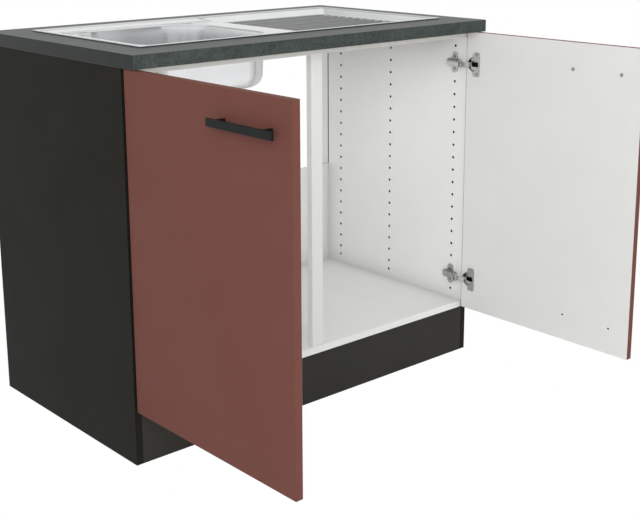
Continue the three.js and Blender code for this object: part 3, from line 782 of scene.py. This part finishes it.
def strainer():
    """Lift-out cup: a perforated floor, a rolled rim, and a knob on a stem."""
    shape = bmesh.new()
    turned(shape, [
        (0, -23), (4, -22.9), (4.1, -9), (5, -7.8), (8.6, -6.4), (9, -5.6), (9, -2.8), (8.4, -2),
        (6.5, -1.4), (0, -1.2),
    ])
    turned(shape, [
        (6, -23), (13, -23.4), (27, -23.4), (30, -23.2), (33.6, -22), (36.4, -19.6), (38.2, -12),
        (40.1, -4), (40.8, -2.6), (41.6, -2.1), (42.2, -2.4), (42.2, -3),
    ], 72)

    def in_slot(face):
        spot = face.calc_center_median()
        step = math.degrees(math.atan2(spot.y, spot.x)) % 30
        return 10 < step < 20 and 15 < math.hypot(spot.x, spot.y) < 25

    bmesh.ops.delete(shape, geom=[face for face in shape.faces if in_slot(face)], context="FACES")
    smooth_with_creases(shape, 50)
    bmesh.ops.translate(shape, vec=WASTE, verts=shape.verts)
    return shape


basket = finished("strainer_cup", strainer(), STEEL, "basket", ["strainer_basket"])
wall = basket.modifiers.new("sheet", "SOLIDIFY")
wall.thickness = 0.7 * MM
wall.offset = 0

# ---------------------------------------------------------------- hinges and screws

INNER_X = 484.0
DOOR_INNER_X = 480.1
HINGE_HEIGHTS = {"lower": 196.0, "upper": 740.0}
PLATE_Y = 29.0
PLATE_SCREWS = 16.0
PLATE_RISE = 2.3
ARM_RISE = 6.9
SIDE_SCREW_Y = 20.5
DEPTH_SCREW_Y = 40.0
CUP_Y = -34.7
CUP_SCREWS = 24.0
CUP_SCREW_Y = CUP_Y - 9.5
CUP_RISE = 1.1
HANDLE_YS = (-454.7, -326.7)
HANDLE_Z = 757.5


def cross_head(shape, at, radius, rise, turn):
    """A pan head with a cross recess on the point at, facing the cabinet (-X)."""
    aligned = Matrix.Rotation(math.radians(turn), 2)
    head = bmesh.ops.create_grid(shape, x_segments=22, y_segments=22, size=1)["verts"]
    brim = {edge for vert in head for edge in vert.link_edges if edge.is_boundary}
    for vert in head:
        u = vert.co.x * math.sqrt(1 - vert.co.y ** 2 / 2)
        v = vert.co.y * math.sqrt(1 - vert.co.x ** 2 / 2)
        low, high = sorted(abs(part) for part in aligned @ Vector((u, v)))
        slot = eased((0.2 - low) / 0.09) * eased((0.72 - high) / 0.1)
        dome = rise * math.sqrt(1 - 0.82 * (u * u + v * v))
        vert.co = (at[0] - dome + slot * rise * 0.6, at[1] + u * radius, at[2] + v * radius)
        for face in vert.link_faces:
            face.smooth = True
    foot = pulled(shape, list(brim), lambda spot: (at[0], spot.y, spot.z))
    bmesh.ops.contextual_create(shape, geom=foot)
    bmesh.ops.recalc_face_normals(shape, faces=shape.faces)


def handed(shape, sign):
    """The right-hand shape as it is, or mirrored for the left."""
    if sign < 0:
        bmesh.ops.scale(shape, vec=(-1, 1, 1), verts=shape.verts)
        bmesh.ops.reverse_faces(shape, faces=shape.faces)
    return shape


def on_circle(radius, degrees):
    turn = math.radians(degrees)
    return (radius * math.cos(turn), radius * math.sin(turn))


def flat_plate(shape, outlines, height):
    """A flat plate within the first outline and outside the rest; gives the edges of each."""
    loops = []
    for spots in outlines:
        verts = [shape.verts.new((x, y, height)) for x, y in spots]
        loops.append([shape.edges.new((verts[i - 1], verts[i])) for i in range(len(verts))])
    bmesh.ops.triangle_fill(shape, use_beauty=True, edges=sum(loops, []))
    return loops


def slab(shape, outlines, top, bottom):
    """A closed plate of the first outline, with the others as holes through it."""
    for loop in flat_plate(shape, outlines, top):
        pulled(shape, loop, lambda spot: (spot.x, spot.y, bottom))
    flat_plate(shape, outlines, bottom)


def cup_shape(z):
    """Deep-drawn cup with its screwed flange, and the block in it, slotted for the link."""
    shape = bmesh.new()
    turned(shape, [
        (0, -11.5), (16.4, -11.5), (17.2, -11.2), (17.5, -10.4), (17.5, 1.2),
        (16.6, 1.2), (16.3, 0.8), (16.3, -9.4), (15.8, -10.3), (14.8, -10.6), (0, -10.6),
    ], 48)
    outline = [(-18.8, -26), (-15, -29.8), (-1, -29.8), (2.8, -26)]
    outline += [on_circle(18.7, turn) for turn in range(-80, 81, 10)]
    outline += [(2.8, 26), (-1, 29.8), (-15, 29.8), (-18.8, 26)]
    mouth = [on_circle(17.45, turn) for turn in range(0, 360, 10)]
    slab(shape, [outline, mouth], 1.2, 0.02)
    block = [on_circle(15.9, turn) for turn in range(45, 316, 10)]
    block += [(11.2, -5.9), (-11, -5.9), (-12.5, -4.4), (-12.5, 4.4), (-11, 5.9), (11.2, 5.9)]
    slab(shape, [block], -1.2, -10.5)
    smooth_with_creases(shape, 35)
    facing = Matrix(((0, 0, -1), (1, 0, 0), (0, -1, 0))).to_4x4()
    facing.translation = (DOOR_INNER_X, CUP_Y, z)
    bmesh.ops.transform(shape, matrix=facing, verts=shape.verts)
    return shape


for hand, sign in (("right", 1), ("left", -1)):
    door = f"{hand}_door"
    for level, z in HINGE_HEIGHTS.items():
        refined(f"hinge_plate_{hand}_{level}", NICKEL, "carcass", 0.3)
        refined(f"hinge_arm_{hand}_{level}", NICKEL, "carcass", 0.25)
        refined(f"hinge_link_{hand}_{level}", NICKEL, f"{hand}_hinge_links", 0.2)
        finished(
            f"hinge_cup_{hand}_{level}_piece", handed(cup_shape(z), sign), NICKEL, door,
            [f"hinge_cup_{hand}_{level}"])
        fixed = bmesh.new()
        for end in (-1, 1):
            spot = (INNER_X - PLATE_RISE, PLATE_Y, z + end * PLATE_SCREWS)
            cross_head(fixed, spot, 4.0, 2.0, 35 * end)
        cross_head(fixed, (INNER_X - ARM_RISE, SIDE_SCREW_Y, z), 3.6, 1.8, 20)
        cross_head(fixed, (INNER_X - ARM_RISE, DEPTH_SCREW_Y, z), 4.4, 2.0, 62)
        finished(f"hinge_screws_{hand}_{level}", handed(fixed, sign), NICKEL, "carcass")
        carried = bmesh.new()
        for end in (-1, 1):
            spot = (DOOR_INNER_X - CUP_RISE, CUP_SCREW_Y, z + end * CUP_SCREWS)
            cross_head(carried, spot, 3.8, 1.9, 28 * end)
        finished(f"cup_screws_{hand}_{level}", handed(carried, sign), NICKEL, door)
    for place, y in zip(("front", "rear"), HANDLE_YS):
        screw = bmesh.new()
        cross_head(screw, (DOOR_INNER_X, y, HANDLE_Z), 4.2, 2.3, 30)
        finished(
            f"handle_screw_{hand}_{place}_piece", handed(screw, sign), NICKEL, door,
            [f"handle_screw_{hand}_{place}"])

# ---------------------------------------------------------------- floor, light and camera


def add_floor():
    """Pure white to the camera and in mirrors, plain pale paint to all else."""
    bpy.ops.mesh.primitive_plane_add(size=40, location=(0, 0, -0.001))
    floor = bpy.context.object
    floor.name = "floor"
    paint = Shade("floor_paint", 0.9)
    paint.surface.inputs["Base Color"].default_value = (0.8, 0.8, 0.8, 1)
    glow = paint.node("ShaderNodeEmission", {"Color": (1, 1, 1, 1), "Strength": 1.0})
    seen = paint.seen_by("Camera") + paint.seen_by("Glossy")
    painted = Value(paint, paint.surface.outputs[0])
    blend = paint.node("ShaderNodeMixShader", {0: seen, 1: painted, 2: glow})
    paint.tree.links.new(blend.socket, paint.tree.nodes["Material Output"].inputs["Surface"])
    floor.data.materials.append(paint.material)


def add_world(level, dim):
    """Even light all round; what shines also mirrors white with a dim band half way up."""
    world = bpy.data.worlds.new("studio")
    bpy.context.scene.world = world
    sky = Nodes(world)
    heading = sky.node("ShaderNodeTexCoord", {}, output="Generated")
    height = sky.node("ShaderNodeSeparateXYZ", {0: heading}, output="Z")
    mirrored = 1 - (1 - dim) * height.between(0.08, 0.34) * (1 - height.between(0.62, 0.74))
    strength = level + (1 - level) * sky.seen_by("Camera")
    strength = strength + (mirrored - level) * sky.seen_by("Glossy")
    backdrop = sky.tree.nodes["Background"]
    backdrop.inputs["Color"].default_value = (1, 1, 1, 1)
    sky.tree.links.new(strength.socket, backdrop.inputs["Strength"])


def add_dark_panel(at, target, size):
    """An unlit panel that only mirrors see: it gives the steel something dark to show."""
    bpy.ops.mesh.primitive_plane_add(size=1, location=at)
    panel = bpy.context.object
    panel.name = "dark_panel"
    panel.scale = (size[0], size[1], 1)
    panel.rotation_euler = (Vector(target) - Vector(at)).to_track_quat("Z", "Y").to_euler()
    cloth = Shade("dark_cloth", 0.9)
    cloth.surface.inputs["Base Color"].default_value = (0.1, 0.1, 0.1, 1)
    panel.data.materials.append(cloth.material)
    panel.visible_camera = False
    panel.visible_diffuse = False
    panel.visible_shadow = False


def add_lamp(name, at, target, size, power):
    """A soft lamp, unseen by the camera and in mirrors."""
    data = bpy.data.lights.new(name, "AREA")
    data.shape = "RECTANGLE"
    data.size, data.size_y = size
    data.energy = power
    lamp = bpy.data.objects.new(name, data)
    bpy.context.scene.collection.objects.link(lamp)
    lamp.location = at
    lamp.rotation_euler = (Vector(target) - Vector(at)).to_track_quat("-Z", "Y").to_euler()
    lamp.visible_camera = False
    lamp.visible_glossy = False


add_floor()
add_world(0.68, 0.5)
add_dark_panel((2.6, -3.0, 0.9), (-0.2, 0.2, 0.8), (1.5, 1.4))
add_lamp("key", (-2.4, -2.8, 2.0), (0.3, 0.2, 0.5), (3.0, 2.2), 76)
add_lamp("front", (0.4, -3.6, 1.8), (0.1, 0.3, 0.4), (2.0, 1.6), 5)
add_lamp("side", (3.2, 0.7, 1.8), (0.1, 0.3, 0.4), (2.6, 2.0), 60)
add_lamp("cabinet", (0.16, 0.22, 0.80), (0.15, 0.24, 0.0), (0.3, 0.26), 0.42)
add_lamp("left_bay", (-0.32, 0.27, 0.53), (0.0, 0.30, 0.42), (0.2, 0.2), 0.18)


def add_camera(at, yaw, pitch, roll, focal, shift):
    """Angles in degrees, pitch downwards; focal length and shift in widths of the picture."""
    data = bpy.data.cameras.new("camera")
    data.sensor_width = 36
    data.lens = 36 * focal
    data.shift_x, data.shift_y = shift
    camera = bpy.data.objects.new("camera", data)
    bpy.context.scene.collection.objects.link(camera)
    bearing, tilt = math.radians(yaw), math.radians(pitch)
    flat = math.cos(tilt)
    ahead = Vector((math.sin(bearing) * flat, math.cos(bearing) * flat, -math.sin(tilt)))
    view = ahead.to_track_quat("-Z", "Y").to_matrix() @ Matrix.Rotation(math.radians(-roll), 3, "Z")
    camera.matrix_world = Matrix.Translation(at) @ view.to_4x4()
    bpy.context.scene.camera = camera


add_camera((-1.695, -1.926, 1.120), 41.00, 13.17, 0.34, 1183 / 640, (0.017, -0.120))
bpy.context.scene.view_settings.view_transform = "Standard"
